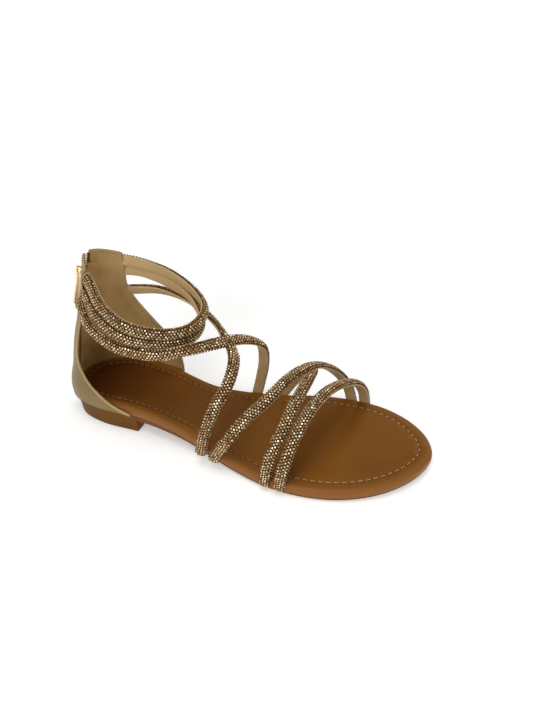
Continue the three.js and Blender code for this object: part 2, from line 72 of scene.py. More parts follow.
STRAPS = {  # the middle of each strap's inner face: ahead, side, up, and how far the face rolls up
    "ankle_top": [
        (4, 14.3, 105.2), (12.5, 18.5, 103), (21, 24.5, 98.5), (37.5, 28, 91.5), (55.5, 23.5, 84),
        (68, 11, 80), (67, -7.5, 78), (55.5, -21, 81), (37, -27, 87, .2), (21, -22, 94, .55),
        (9.5, -13, 100.8, .8), (0, -5.8, 104.5, .8)],
    "ankle_low": [
        (4, 14.6, 98.2), (12, 19, 96), (20, 25, 92.5), (36.5, 28, 85), (54, 23, 77.5), (65.5, 9.5, 71.5),
        (65, -8, 70), (54, -20.5, 73.5), (36, -27, 78.5, .2), (19, -23.5, 85, .5), (7.5, -15.5, 91, .7),
        (-2, -7.4, 95.3, .7)],
    "instep_to_inner": [
        (-7, -6.2, 86.5, .6), (2, -16.5, 81.5, .6), (11, -23.5, 78, .45), (28.5, -28, 71.8, .2),
        (53, -25.5, 68.8), (71, -16, 70), (83.5, -3.5, 68.5), (94, 10, 63.5), (100.8, 20.5, 53.5),
        (100, 25.5, 37), (96.5, 27.5, 22), (92, 27.5, 5)],
    "instep_to_outer": [
        (3.5, 17.4, 81.2, .3), (12, 20.5, 80.5, .3), (28, 27.5, 78.5, .6), (46, 27, 75, .9),
        (64, 20, 71, .6), (80, 8, 67.5), (93, -4, 60.5), (97, -19.5, 54.5), (92.3, -32, 43),
        (87, -38, 27), (80.5, -36, 5)],
    "toe_long": [
        (89, -37.5, 5), (101, -38.5, 25), (110.5, -31.5, 37.5), (120.5, -19.5, 45.8), (129, 0, 50.5),
        (137, 19.5, 46), (145, 34, 34), (152.5, 40.5, 20), (157, 42, 2)],
    "toe_return": [
        (125.5, -44, 1), (129.5, -42.5, 22.5), (134, -33, 36.5), (136.5, -17.5, 44.8), (138, 0, 47.5),
        (136.5, 15, 45), (129.5, 26, 37), (119, 33, 21.5), (106, 32, 2)],
    "toe_front": [
        (134.5, -44.5, 1), (138.5, -43, 21.5), (141.5, -33, 34), (145, -17.5, 41), (150, 0, 42.8),
        (156.5, 16.5, 38.6), (161.5, 31, 28.8), (164, 40, 16.5), (165.5, 41.5, 2)]}
STRAP_WIDTH, STRAP_HEIGHT = 7.4, 3.3
FOOTBED_THICK, WALL, GAP = 6.0, 1.6, 0.3
HEEL_BREAST = 28                                           # the front of the heel block
HEEL_RISE, BALL_RISE, TOE_SPRING = 14.6, 2, 3.5            # the footbed's underside over the floor
SLOPE_FROM, SLOPE_LONG, SPRING_FROM, SPRING_LONG = 19, 109, 150, 67
SHANK_THICK, SHANK_TAPER, SHANK_LONG = 4.5, 2.5, 100       # the sole under the arch
STITCH_INSET = 7.9                                         # from the insole's outline to its seam
COLLAR_FRONT, COLLAR_RISE = 108, 5.5                       # the quarter's top, and how it rises to the zip
ZIP_BOTTOM, ZIP_SLOT, SLIDER_AT = 34, 6.2, 99
LEG_LINE = np.array([(34, 0, 130), (40, 0, 30)], float)    # bones that the straps face away from
FOOT_LINE = np.array([(30, 0, 14), (210, -2, 9)], float)


def smooth_line(points, closed=False, steps=24):
    """Points along a smooth curve through the given ones."""
    p = np.array(points, float)
    ends = (p[-1:], p[:2]) if closed else (2 * p[:1] - p[1:2], 2 * p[-1:] - p[-2:-1])
    p = np.vstack([ends[0], p, ends[1]])
    t = np.linspace(0, 1, steps, endpoint=False)[:, None]
    out = []
    for a, b, c, d in zip(p, p[1:], p[2:], p[3:]):
        ab, bc, cd = (math.sqrt(np.linalg.norm(v - u)) for u, v in ((a, b), (b, c), (c, d)))
        m1 = ((b - a) / ab - (c - a) / (ab + bc) + (c - b) / bc) * bc
        m2 = ((c - b) / bc - (d - b) / (bc + cd) + (d - c) / cd) * bc
        out.append(b + m1 * t + (3 * (c - b) - 2 * m1 - m2) * t ** 2 + (2 * (b - c) + m1 + m2) * t ** 3)
    return np.vstack(out + ([] if closed else [p[-2:-1]]))


def even(points, count, closed=False):
    """The same line with its points at equal distances."""
    p = np.vstack([points, points[:1]]) if closed else np.asarray(points)
    run = np.r_[0, np.cumsum(np.linalg.norm(np.diff(p, axis=0), axis=1))]
    at = np.linspace(0, run[-1], count, endpoint=not closed)
    return np.stack([np.interp(at, run, column) for column in p.T], axis=1)


def length_of(points):
    return float(np.linalg.norm(np.diff(points, axis=0), axis=1).sum())


def unit(v):
    """Each row, made one long."""
    return v / np.linalg.norm(v, axis=1)[:, None]


outline = smooth_line([HEEL_BACK, *[(x, low) for x, low, high in FOOTPRINT], TOE_TIP,
                       *[(x, high) for x, low, high in FOOTPRINT][::-1]], closed=True, steps=36)
print("outline of the insole:", round(outline[:, 0].max() - outline[:, 0].min()), "mm long")

# %% Profile of the last
def footbed_under(ahead):
    """Height of the footbed's underside over the floor."""
    t = np.clip((np.asarray(ahead, float) - SLOPE_FROM) / SLOPE_LONG, 0, 1)
    spring = np.clip((np.asarray(ahead, float) - SPRING_FROM) / SPRING_LONG, 0, 1)
    return HEEL_RISE + (BALL_RISE - HEEL_RISE) * t * t * (3 - 2 * t) + TOE_SPRING * spring ** 2


def sole_under(ahead):
    """Height of the sole's underside: on the floor under the heel and ball, up under the arch."""
    t = np.clip((np.asarray(ahead, float) - HEEL_BREAST) / SHANK_LONG, 0, 1)
    arch = np.maximum(footbed_under(ahead) - (SHANK_THICK - SHANK_TAPER * t), 0)
    return np.where(ahead < HEEL_BREAST, 0, arch)


def inset_outline(inset, count):
    """The insole's outline, moved inwards, as evenly spaced points."""
    line = even(outline, count * 4, closed=True)
    along = np.roll(line, -1, 0) - np.roll(line, 1, 0)
    inwards = np.stack([-along[:, 1], along[:, 0]], 1) / np.linalg.norm(along, axis=1)[:, None]
    return even(line + inset * inwards, count, closed=True)


def edges(ahead):
    """Outer and inner edge of the insole at one distance ahead."""
    a, b = outline, np.roll(outline, -1, 0)
    hit = ((a[:, 0] - ahead) * (b[:, 0] - ahead) <= 0) & (a[:, 0] != b[:, 0])
    side = a[hit, 1] + (b[hit, 1] - a[hit, 1]) * (ahead - a[hit, 0]) / (b[hit, 0] - a[hit, 0])
    return side.min(), side.max()


# %% [markdown]
# ## The camera and the light
# Nothing says more about a thing's proportions than where it is looked at from. The camera stands off
# the outer side, a little over the shoe's own length above the floor, with a wide lens, so the toe looks
# larger than the heel. Four soft boxes light the shoe: a large one over it, one in front, one behind, and
# a small weak one beyond the toe. The room itself stays darker than they are: stones only sparkle when
# some of their facets see a light and others see a dark room.

# %% Camera and lights
AZIMUTH, ELEVATION, ROLL = (math.radians(d) for d in (22.209, 35.64, -2.951))
back = Vector((math.sin(AZIMUTH) * math.cos(ELEVATION), -math.cos(AZIMUTH) * math.cos(ELEVATION),
               math.sin(ELEVATION)))
right = Vector((math.cos(AZIMUTH), math.sin(AZIMUTH), 0))
upward = back.cross(right)
rolled_right = math.cos(ROLL) * right + math.sin(ROLL) * upward
rolled_up = math.cos(ROLL) * upward - math.sin(ROLL) * right
bpy.ops.object.camera_add()
camera = bpy.context.object
camera.name = "camera"
camera.data.lens, camera.data.sensor_width = 30, 36
camera.data.clip_start = 0.01
place = Matrix((rolled_right, rolled_up, back)).transposed().to_4x4()
place.translation = Vector((224.83, -268.24, 268.11)) * MM
camera.matrix_world = place
scene.camera = camera
scene.view_settings.view_transform = "Standard"

LIT_SPOT = Vector((0.09, 0, 0.03))      # the middle of the shoe


def soft_box(name, spot, size, power):
    bpy.ops.object.light_add(type="AREA", location=spot)
    lamp = bpy.context.object
    lamp.name = name
    lamp.data.shape, lamp.data.size, lamp.data.energy = "SQUARE", size, power
    lamp.rotation_euler = (LIT_SPOT - Vector(spot)).to_track_quat("-Z", "Y").to_euler()


soft_box("soft_box_over", (0.10, -0.15, 1.1), 0.7, 5.2)
soft_box("soft_box_front", (0.0, -1.0, 0.6), 0.6, 5)
soft_box("soft_box_behind", (0.3, 0.95, 0.75), 0.5, 2.4)
soft_box("soft_box_toe", (1.0, -0.35, 0.55), 0.35, 1.6)
world = bpy.data.worlds.new("studio")
scene.world = world
world.use_nodes = True
room = world.node_tree.nodes["Background"].inputs
room["Color"].default_value = (1, 0.985, 0.96, 1)
room["Strength"].default_value = 0.2

# %% [markdown]
# ## Short ways to work
# The same few moves come back for every piece: add a primitive with nothing else selected, pick faces
# or edges by where they are, move the points of a flat pattern onto the last, and give materials. They
# are written once here. `press` takes a function on rows of millimetres, so that a shape is always
# described in the shoemaker's units.

# %% Helpers for pieces
def alone():
    """Leaves nothing selected, in object mode."""
    if bpy.context.mode != "OBJECT":
        bpy.ops.object.mode_set(mode="OBJECT")
    bpy.ops.object.select_all(action="DESELECT")


def only(piece):
    """Makes the piece the one that the next step works on."""
    alone()
    bpy.context.view_layer.objects.active = piece
    piece.select_set(True)


def named(name):
    piece = bpy.context.object
    piece.name = piece.data.name = name
    return piece


def points_of(piece):
    flat = np.empty(len(piece.data.vertices) * 3)
    piece.data.vertices.foreach_get("co", flat)
    return flat.reshape(-1, 3) / MM


def press(piece, shape):
    """Moves every point of the piece to where shape says, in millimetres."""
    piece.data.vertices.foreach_set("co", (shape(points_of(piece)) * MM).ravel())
    piece.data.update()


def choose(piece, kind, test):
    """In edit mode, selects only the edges or faces whose points pass the test."""
    bpy.ops.object.mode_set(mode="EDIT")
    bpy.ops.mesh.select_mode(type=kind)
    bpy.ops.mesh.select_all(action="DESELECT")
    bpy.ops.object.mode_set(mode="OBJECT")
    p = points_of(piece)
    group = piece.data.edges if kind == "EDGE" else piece.data.polygons
    for element in group:
        element.select = bool(test(p[list(element.vertices)]))
    bpy.ops.object.mode_set(mode="EDIT")


def apply(piece, kind, **settings):
    """Adds one modifier and applies it at once."""
    modifier = piece.modifiers.new(kind.lower(), kind)
    for key, value in settings.items():
        setattr(modifier, key, value)
    only(piece)
    bpy.ops.object.modifier_apply(modifier=modifier.name)


def smooth(piece, angle):
    only(piece)
    bpy.ops.object.shade_smooth_by_angle(angle=math.radians(angle))


def outwards(piece):
    """Merges doubles and turns every face outwards."""
    only(piece)
    bpy.ops.object.mode_set(mode="EDIT")
    bpy.ops.mesh.select_all(action="SELECT")
    bpy.ops.mesh.remove_doubles(threshold=0.01 * MM)
    bpy.ops.mesh.normals_make_consistent(inside=False)
    bpy.ops.object.mode_set(mode="OBJECT")


def mark(piece, name, values, each="POINT"):
    """Stores one number for each point or face, which a material can read."""
    attribute = piece.data.attributes.new(name, "FLOAT", each)
    attribute.data.foreach_set("value", np.asarray(values, np.float32))


def wear(piece, *finishes):
    """Gives the piece its materials, in the order its faces count them."""
    for finish in finishes:
        piece.data.materials.append(finish.material)


def on_shoe(piece, slot, *finishes, replaces=()):
    """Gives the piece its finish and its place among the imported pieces."""
    wear(piece, *finishes)
    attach(piece, "shoe")
    for node in replaces:
        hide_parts(node)
    print(piece.name, len(piece.data.polygons), "faces")


def repeated(name, points, faces):
    """One mesh of many copies of a small thing: points has a row of millimetres for each copy's points."""
    copies, size = points.shape[:2]
    mesh = bpy.data.meshes.new(name)
    mesh.from_pydata((points.reshape(-1, 3) * MM).tolist(), [],
                     [[v + k * size for v in face] for k in range(copies) for face in faces])
    piece = bpy.data.objects.new(name, mesh)
    scene.collection.objects.link(piece)
    return piece


def tubes(name, lines, radius, sides):
    """Round threads or rolled edges: a bevelled curve along each line, made a mesh."""
    curve = bpy.data.curves.new(name, "CURVE")
    curve.dimensions, curve.bevel_depth, curve.bevel_resolution = "3D", radius * MM, sides
    curve.use_fill_caps = True
    for line in lines:
        spline = curve.splines.new("POLY")
        spline.points.add(len(line) - 1)
        spline.points.foreach_set("co", np.c_[np.array(line) * MM, np.ones(len(line))].ravel())
    piece = bpy.data.objects.new(name, curve)
    scene.collection.objects.link(piece)
    only(piece)
    bpy.ops.object.convert(target="MESH")
    piece = named(name)
    outwards(piece)
    smooth(piece, 60)
    return piece


def stitch_lines(line, pitch, dash, rise, outward):
    """Cuts a line into stitches: each dips into the material at its ends and stands over it between."""
    steps, bends = 20, 5       # points of the line from one stitch to the next, and points of one stitch
    count = int(length_of(line) / pitch)
    fine = even(line, count * steps + 1)
    lift = even(np.broadcast_to(outward, line.shape), count * steps + 1)
    take = max(int(steps * dash / pitch), bends - 1)
    arch = np.sin(np.linspace(0, math.pi, bends)) * 1.6 * rise - 0.6 * rise
    cuts = []
    for start in range(0, count * steps, steps):
        at = np.linspace(start, start + take, bends).astype(int)
        cuts.append(fine[at] + lift[at] * arch[:, None])
    return cuts


# %% [markdown]
# ## Finishes
# Every finish starts from one Principled shader. `Finish` keeps the tree. Its `add` makes a node, and
# `fill` sets the sockets of one: a socket that is given another node's output is linked to it. Short
# calls for the usual nodes build on these two. Leatherette is a printed plastic skin on cloth: its
# colour clouds slightly, its grain is a fine network of cells, and its gloss is broken up by the grain.
# All patterns sit on Object coordinates, which are metres here, so a scale of 1000 gives a grain of
# about a millimetre.

# %% Helper for finishes
class Finish:
    def __init__(self, name, **sockets):
        self.material = bpy.data.materials.new(name)
        self.material.use_nodes = True
        self.tree = self.material.node_tree
        self.shader = self.tree.nodes["Principled BSDF"]
        self.fill(self.shader, sockets)
        self.place = self.add("ShaderNodeTexCoord").outputs["Object"]

    def fill(self, node, sockets):
        """Sockets go by their name, with _ for a space, or by their number after an _."""
        for key, value in sockets.items():
            socket = node.inputs[int(key[1:]) if key[0] == "_" else key.replace("_", " ")]
            if isinstance(value, bpy.types.NodeSocket):
                self.tree.links.new(value, socket)
            else:
                socket.default_value = (*value, 1) if socket.type == "RGBA" else value

    def add(self, kind, settings=None, **sockets):
        node = self.tree.nodes.new(kind)
        for key, value in (settings or {}).items():
            setattr(node, key, value)
        self.fill(node, sockets)
        return node

    def noise(self, scale, detail):
        return self.add("ShaderNodeTexNoise", Vector=self.place, Scale=scale, Detail=detail).outputs[0]

    def cells(self, scale):
        return self.add("ShaderNodeTexVoronoi", Vector=self.place, Scale=scale).outputs["Distance"]

    def number(self, name):
        return self.add("ShaderNodeAttribute", {"attribute_name": name}).outputs["Fac"]

    def range(self, value, low, high, from_low=0.0, from_high=1.0):
        return self.add("ShaderNodeMapRange", Value=value, From_Min=from_low, From_Max=from_high,
                        To_Min=low, To_Max=high).outputs[0]

    def mix(self, share, first, second):
        node = self.add("ShaderNodeMix", {"data_type": "RGBA"}, _0=share, _6=first, _7=second)
        return node.outputs[2]

    def ramp(self, value, *stops):
        node = self.add("ShaderNodeValToRGB", Fac=value)
        elements = node.color_ramp.elements
        while len(elements) < len(stops):
            elements.new(0.5)
        for element, (position, colour) in zip(elements, stops):
            element.position, element.color = position, (*colour, 1)
        return node.outputs[0]

    def bump(self, height, distance, strength, under=None):
        sockets = {"Height": height, "Distance": distance, "Strength": strength}
        if under is not None:
            sockets["Normal"] = under
        return self.add("ShaderNodeBump", **sockets).outputs[0]


def leatherette(name, dark, light, grain=1500, depth=0.00006, gloss=(0.38, 0.55), metallic=0.0,
                wrinkles=0.0003, specular=0.2):
    skin = Finish(name, Metallic=metallic, Specular_IOR_Level=specular)
    cloud = skin.range(skin.noise(38, 4), 0, 1, 0.3, 0.7)
    skin.fill(skin.shader, {"Base Color": skin.mix(cloud, dark, light)})
    folds = skin.bump(skin.noise(150, 4), wrinkles, 0.5)
    pores = skin.bump(skin.cells(grain), depth, 0.6, under=folds)
    skin.fill(skin.shader, {"Normal": pores, "Roughness": skin.range(skin.noise(420, 5), *gloss)})
    return skin


# %% The finishes of the sandal
paper = Finish("white_paper", Roughness=0.9, Emission_Color=(1, 1, 1))
# the floor glows by its own emission, more with distance from the shoe
reach = paper.add("ShaderNodeVectorMath", {"operation": "LENGTH"}, _0=paper.place).outputs["Value"]
paper.fill(paper.shader, {
    "Base Color": paper.mix(paper.noise(3, 2), (0.9, 0.9, 0.89), (0.93, 0.93, 0.93)),
    "Emission Strength": paper.range(reach, 0.3, 0.85, 0.16, 0.7)})

champagne = leatherette("champagne_leatherette", (0.2, 0.135, 0.05), (0.25, 0.175, 0.07), metallic=0.3,
                        gloss=(0.33, 0.45))
lining = leatherette("olive_beige_lining", (0.31, 0.185, 0.062), (0.52, 0.33, 0.13), grain=1100,
                     wrinkles=0.0014)
strap_lining = leatherette("strap_lining", (0.42, 0.285, 0.13), (0.53, 0.37, 0.18), grain=1300,
                           gloss=(0.45, 0.6))
rolled_edge = leatherette("rolled_edge", (0.32, 0.22, 0.095), (0.4, 0.28, 0.13), metallic=0.3,
                          gloss=(0.3, 0.42))
backing = leatherette("bronze_backing", (0.02, 0.01, 0.004), (0.045, 0.022, 0.008), metallic=0.2)
sole_finish = leatherette("moulded_brown", (0.12, 0.045, 0.003), (0.155, 0.06, 0.005), grain=900,
                          depth=0.00003, gloss=(0.4, 0.5), wrinkles=0.00005, specular=0.08)

cognac = Finish("cognac_leatherette", Specular_IOR_Level=0.14)
cloud = cognac.range(cognac.noise(26, 4), 0, 1, 0.3, 0.7)
skin = cognac.mix(cloud, (0.175, 0.062, 0.004), (0.21, 0.079, 0.007))
# partly the cover's own darker tone at the heel, partly painted shade that the quarter and straps cast over
# the heel seat
heel_darkened_with_shade = cognac.mix(cognac.number("heel_tone_and_painted_shade"), skin, (0.045, 0.009, 0.001))
# painted highlight: the rounded rim within 5 mm of the edge is made lighter
rim_lightened = cognac.mix(cognac.number("rim"), heel_darkened_with_shade, (0.25, 0.1, 0.022))
# painted shade: a dark line along the bottom of the seam's groove
cognac.fill(cognac.shader, {"Base Color": cognac.mix(cognac.number("furrow_painted_shade"), rim_lightened, (0.035, 0.01, 0.001))})
soft_folds = cognac.bump(cognac.noise(90, 3), 0.0003, 0.35)
cognac.fill(cognac.shader, {"Normal": cognac.bump(cognac.cells(1700), 0.00004, 0.5, under=soft_folds),
                            "Roughness": cognac.range(cognac.noise(500, 5), 0.36, 0.5)})

stone = Finish("champagne_stones", Metallic=0.35, Roughness=0.25, Specular_IOR_Level=0.35)
# painted glint and shade: the ramp runs from dark bronze for crowns and edge rows up to pale cream for the
# table facets
stone.fill(stone.shader, {"Base Color": stone.ramp(
    stone.number("stone_tone_and_painted_light"), (0.0, (0.1, 0.045, 0.012)), (0.4, (0.3, 0.165, 0.058)),
    (0.72, (0.62, 0.42, 0.2)), (1.0, (1.0, 0.9, 0.66)))})


def thread(name, dark, light):
    yarn = Finish(name, Roughness=0.7)
    colour = yarn.mix(yarn.noise(900, 2), dark, light)
    yarn.fill(yarn.shader, {"Base Color": colour, "Normal": yarn.bump(yarn.noise(3500, 2), 0.0001, 0.6)})
    return yarn, colour


tan_thread, tan = thread("tan_thread", (0.2, 0.09, 0.026), (0.32, 0.155, 0.052))
ahead = tan_thread.add("ShaderNodeSeparateXYZ", _0=tan_thread.place).outputs[0]
lighter_towards_toe = tan_thread.range(ahead, 0, 1, 0.1, 0.17)          # the thread is lighter from 100 to 170 mm ahead, towards the toe
tan_thread.fill(tan_thread.shader, {"Base Color": tan_thread.mix(lighter_towards_toe, tan, (0.48, 0.27, 0.11))})
beige_thread, _ = thread("beige_thread", (0.33, 0.24, 0.12), (0.46, 0.35, 0.19))

tape_finish = Finish("zip_tape_cloth", Roughness=0.85)
weave = tape_finish.add("ShaderNodeTexWave", {"bands_direction": "Z"}, Vector=tape_finish.place,
                        Scale=420, Distortion=0.6).outputs[1]
tape_finish.fill(tape_finish.shader, {
    "Base Color": tape_finish.mix(weave, (0.12, 0.085, 0.045), (0.24, 0.18, 0.1)),
    "Normal": tape_finish.bump(weave, 0.0002, 0.7)})


def metal(name, dark, light, roughness):
    plate = Finish(name, Metallic=1.0)
    plate.fill(plate.shader, {
        "Base Color": plate.mix(plate.noise(260, 3), dark, light),
        "Roughness": plate.range(plate.noise(700, 4), *roughness),
        "Normal": plate.bump(plate.noise(1400, 3), 0.00001, 0.2)})
    return plate


gold = metal("light_gold_plating", (0.76, 0.55, 0.27), (0.82, 0.62, 0.34), (0.22, 0.3))
tooth_metal = metal("dark_silver_teeth", (0.1, 0.09, 0.075), (0.24, 0.22, 0.19), (0.25, 0.42))
print(len(bpy.data.materials), "materials")

# %% [markdown]
# ## The floor
# A plain sheet, so large that its far edge is always near the horizon. It glows with its own emission,
# weakly near the shoe and more with distance, so the far floor stays as white as the lit floor near the shoe,
# while the lamps near the shoe leave a soft shadow.

# %% Floor
alone()
bpy.ops.mesh.primitive_plane_add(size=80)
floor = named("paper_floor")
wear(floor, paper)

# %% [markdown]
# ## Sole unit and footbed
# Both are cut flat from the same outline, so both start as one disc whose rim is moved onto that
# outline. A flat board is easy to work on: it is extruded to its thickness, its rim is bevelled round,
# and it is inset where the stitch line will be pressed in. Bisecting it many times across gives it
# the points it needs to bend, and then it is pressed onto the profile of the last, which lifts the
# heel, lowers the ball and springs the toe.

# %% A board cut flat to the outline
RIM_POINTS = 260
FOOTBED_INSET, FOOTBED_LIFT = 0.3, 0.15        # the footbed's rim and its gap over the sole
SOLE_INSET, SOLE_TOP_INSET, SOLE_EDGE = 1.7, 0.5, 2    # the sole's rims below and above, its thickness


def board(name, inset, thick):
    alone()
    bpy.ops.mesh.primitive_circle_add(vertices=RIM_POINTS, radius=1, fill_type="NGON")
    piece = named(name)
    rim = inset_outline(inset, RIM_POINTS)
    press(piece, lambda p: np.c_[rim, np.zeros(len(rim))])
    bpy.ops.object.mode_set(mode="EDIT")
    bpy.ops.mesh.select_all(action="SELECT")
    bpy.ops.mesh.extrude_region_move(TRANSFORM_OT_translate={"value": (0, 0, thick * MM)})
    bpy.ops.object.mode_set(mode="OBJECT")
    outwards(piece)
    return piece


def bevel_rim(piece, height, offset, segments):
    """Rounds the edge that runs round the board at that height."""
    choose(piece, "EDGE", lambda p: abs(p[:, 2] - height).max() < 0.01)
    bpy.ops.mesh.bevel(offset=offset * MM, segments=segments, affect="EDGES")
    bpy.ops.object.mode_set(mode="OBJECT")


def slice_across(piece, aheads, sides):
    """Bisects the board across at each distance ahead, and along at each distance to the side."""
    bpy.ops.object.mode_set(mode="EDIT")
    for x in aheads:
        bpy.ops.mesh.select_all(action="SELECT")
        bpy.ops.mesh.bisect(plane_co=(x * MM, 0, 0), plane_no=(1, 0, 0))
    for y in sides:
        bpy.ops.mesh.select_all(action="SELECT")
        bpy.ops.mesh.bisect(plane_co=(0, y * MM, 0), plane_no=(0, 1, 0))
    bpy.ops.object.mode_set(mode="OBJECT")


def from_rim(p):
    """How far each point is from the insole's outline, seen from above."""
    line = even(outline, 700, closed=True)
    return np.array([np.hypot(*(line - q).T).min() for q in p[:, :2]])


# %% Footbed
footbed = board("footbed_board", FOOTBED_INSET, FOOTBED_THICK)
bevel_rim(footbed, FOOTBED_THICK, 2.6, 5)
bevel_rim(footbed, 0, 0.9, 2)
for step in (4.2, 0.7, 0.7):       # up to the seam, and the two sides of its furrow
    choose(footbed, "FACE", lambda p: len(p) > 200 and p[:, 2].min() > FOOTBED_THICK - 0.1)
    bpy.ops.mesh.inset(thickness=step * MM)
    bpy.ops.object.mode_set(mode="OBJECT")
slice_across(footbed, np.arange(-25, 219, 4), np.arange(-36, 37, 6))
rim_distance = from_rim(points_of(footbed))
from_seam = abs(rim_distance - STITCH_INSET)


def pressed_footbed(p):
    top = p[:, 2] > FOOTBED_THICK - 0.5
    groove = 0.55 * np.clip(1 - from_seam / 0.5, 0, 1)         # pressed in by the seam
    dish = 0.7 * np.clip((rim_distance - 8) / 14, 0, 1)        # pressed in by the foot
    up = footbed_under(p[:, 0]) + FOOTBED_LIFT + p[:, 2] - np.where(top, groove + dish, 0)
    return np.c_[p[:, :2], up]


press(footbed, pressed_footbed)
mark(footbed, "rim", np.clip(1 - rim_distance / 5, 0, 1))      # painted highlight along the rounded rim
heelwards = np.clip(1 - points_of(footbed)[:, 0] / 135, 0, 1)
# darker towards the heel and away from the rim: partly the cover's own tone, partly painted shade of the
# quarter and straps
mark(footbed, "heel_tone_and_painted_shade", 0.8 * heelwards ** 1.3 * np.clip(rim_distance / 7, 0, 1))
# painted shade in the seam's groove
mark(footbed, "furrow_painted_shade", 0.8 * (from_seam < 0.35))
smooth(footbed, 35)
on_shoe(footbed, "footbed_leatherette", cognac, replaces=["footbed"])

# %% Sole unit
sole = board("moulded_sole", SOLE_INSET, SOLE_EDGE)
narrow, widened = (inset_outline(inset, RIM_POINTS) for inset in (SOLE_INSET, SOLE_TOP_INSET))


def widen_top(p):
    nearest = [int(np.hypot(*(narrow - q).T).argmin()) for q in p[:, :2]]
    return np.where(p[:, 2:] > SOLE_EDGE / 2, np.c_[widened[nearest], p[:, 2]], p)


def pressed_sole(p):
    below, above = sole_under(p[:, 0]) + p[:, 2], footbed_under(p[:, 0]) + p[:, 2] - SOLE_EDGE
    return np.c_[p[:, :2], np.where(p[:, 2] < SOLE_EDGE / 2, below, above)]


press(sole, widen_top)
bevel_rim(sole, 0, 0.6, 2)
bevel_rim(sole, SOLE_EDGE, 0.4, 2)
slice_across(sole, [*np.arange(-24, 26, 5), HEEL_BREAST - 0.05, HEEL_BREAST + 0.05, *np.arange(32, 214, 5)],
             (-20, 0, 20))
press(sole, pressed_sole)
smooth(sole, 35)
on_shoe(sole, "sole_brown", sole_finish, replaces=["sole_unit"])

# %% [markdown]
# ## Stitches round the footbed
# The cover is held by a row of long stitches eight millimetres inside the edge. One stitch is a short
# tube that dips into the groove at both ends. A single curve object holds all of them, and converting
# it gives one mesh.

# %% Footbed stitches
seam = inset_outline(STITCH_INSET, 600)
seam = np.vstack([seam, seam[:1]])
seam_line = np.c_[seam, footbed_under(seam[:, 0]) + FOOTBED_LIFT + FOOTBED_THICK - 0.28]
long_stitches = stitch_lines(seam_line, pitch=4.6, dash=3.2, rise=0.3, outward=(0, 0, 1.0))
footbed_stitches = tubes("footbed_stitches", long_stitches, 0.27, 1)
on_shoe(footbed_stitches, "footbed_leatherette", tan_thread)

# %% [markdown]
# ## The straps
# Each strap is a padded core with a soft lining on the foot's side and stones glued on the other. It is
# made straight on the bench first, from a cylinder whose long edges are subdivided so that it can bend.
# Its outer half becomes a padded D section and its inner half a thin cushion. Then it is laid over the
# last along its own line. A Curve modifier would bend it too, but would not keep its lining on the foot:
# at each step the strap has to face away from the leg or the foot, whichever is nearer.

# %% The line a strap follows
def away_from_last(p):
    """Which way the last's surface faces at each point; the nearer bone counts far more."""
    total = np.zeros_like(p)
    for start, end in (LEG_LINE, FOOT_LINE):
        run = end - start
        t = np.clip(((p - start) @ run) / (run @ run), 0, 1)
        away = p - (start + t[:, None] * run)
        total += away / np.linalg.norm(away, axis=1)[:, None] ** 6 * 1e6
    return unit(total)


class StrapLine:
    """Where the strap's inner face runs, which way it faces, and which part of it is made: it starts
    and ends where it goes in between the footbed and the sole, or under the quarter."""

    def __init__(self, rows, hidden):
        line = even(smooth_line([(*row, 0)[:4] for row in rows]), 400)
        self.centre, lift = line[:, :3], line[:, 3]
        self.along = unit(np.gradient(self.centre, axis=0))
        away = away_from_last(self.centre)
        away[:, 2] += lift
        away -= (away * self.along).sum(1)[:, None] * self.along
        self.out = unit(away)
        self.across = np.cross(self.along, self.out)
        self.run = np.r_[0, np.cumsum(np.linalg.norm(np.diff(self.centre, axis=0), axis=1))]
        over_sole = self.run[self.centre[:, 2] > footbed_under(self.centre[:, 0]) + 1.4]
        self.start, self.end = over_sole[0] + hidden[0], over_sole[-1] - hidden[1]
        self.length = self.end - self.start
        self.tucked = hidden[0] > 0, hidden[1] > 0

    def lay(self, p):
        """Takes points of the straight strap (along, across, out) onto the last."""
        at = self.start + p[:, 0]
        past = at - np.clip(at, 0, self.run[-1])           # past its ends the line runs straight on
        centre, across, out, along = (np.stack([np.interp(at, self.run, c) for c in v.T], 1)
                                      for v in (self.centre, self.across, self.out, self.along))
        return centre + across * p[:, 1:2] + out * p[:, 2:3] + along * past[:, None]

    def thinning(self, along):
        """How thick the strap still is there: it thins where it goes under the quarter."""
        share = np.ones_like(along)
        for tucked, inwards in zip(self.tucked, (along, self.length - along)):
            if tucked:
                share *= 0.6 + 0.4 * np.clip(inwards / 3, 0, 1)
        return share


def section(angle):
    """Across and out of the padded D section, for an angle from one edge of the strap to the other."""
    c, s = np.cos(angle), np.sin(angle)
    return STRAP_WIDTH / 2 * np.sign(c) * abs(c) ** 0.8, STRAP_HEIGHT * abs(s) ** 0.8


HIDDEN = {  # millimetres of the line that the quarter covers, at its start and at its end
    "ankle_top": (8.6, 3.5), "ankle_low": (8.6, 3.5),
    "instep_to_inner": (3.5, 0), "instep_to_outer": (6.6, 0)}
lines = {name: StrapLine(rows, HIDDEN.get(name, (0, 0))) for name, rows in STRAPS.items()}
print({name: round(line.length) for name, line in lines.items()}, "mm of strap")

# %% The padded core and its lining
STONE_SINK = 0.45    # the core lies this far under the stones' faces
LINING_PAD = 0.6     # how far the lining swells towards the foot


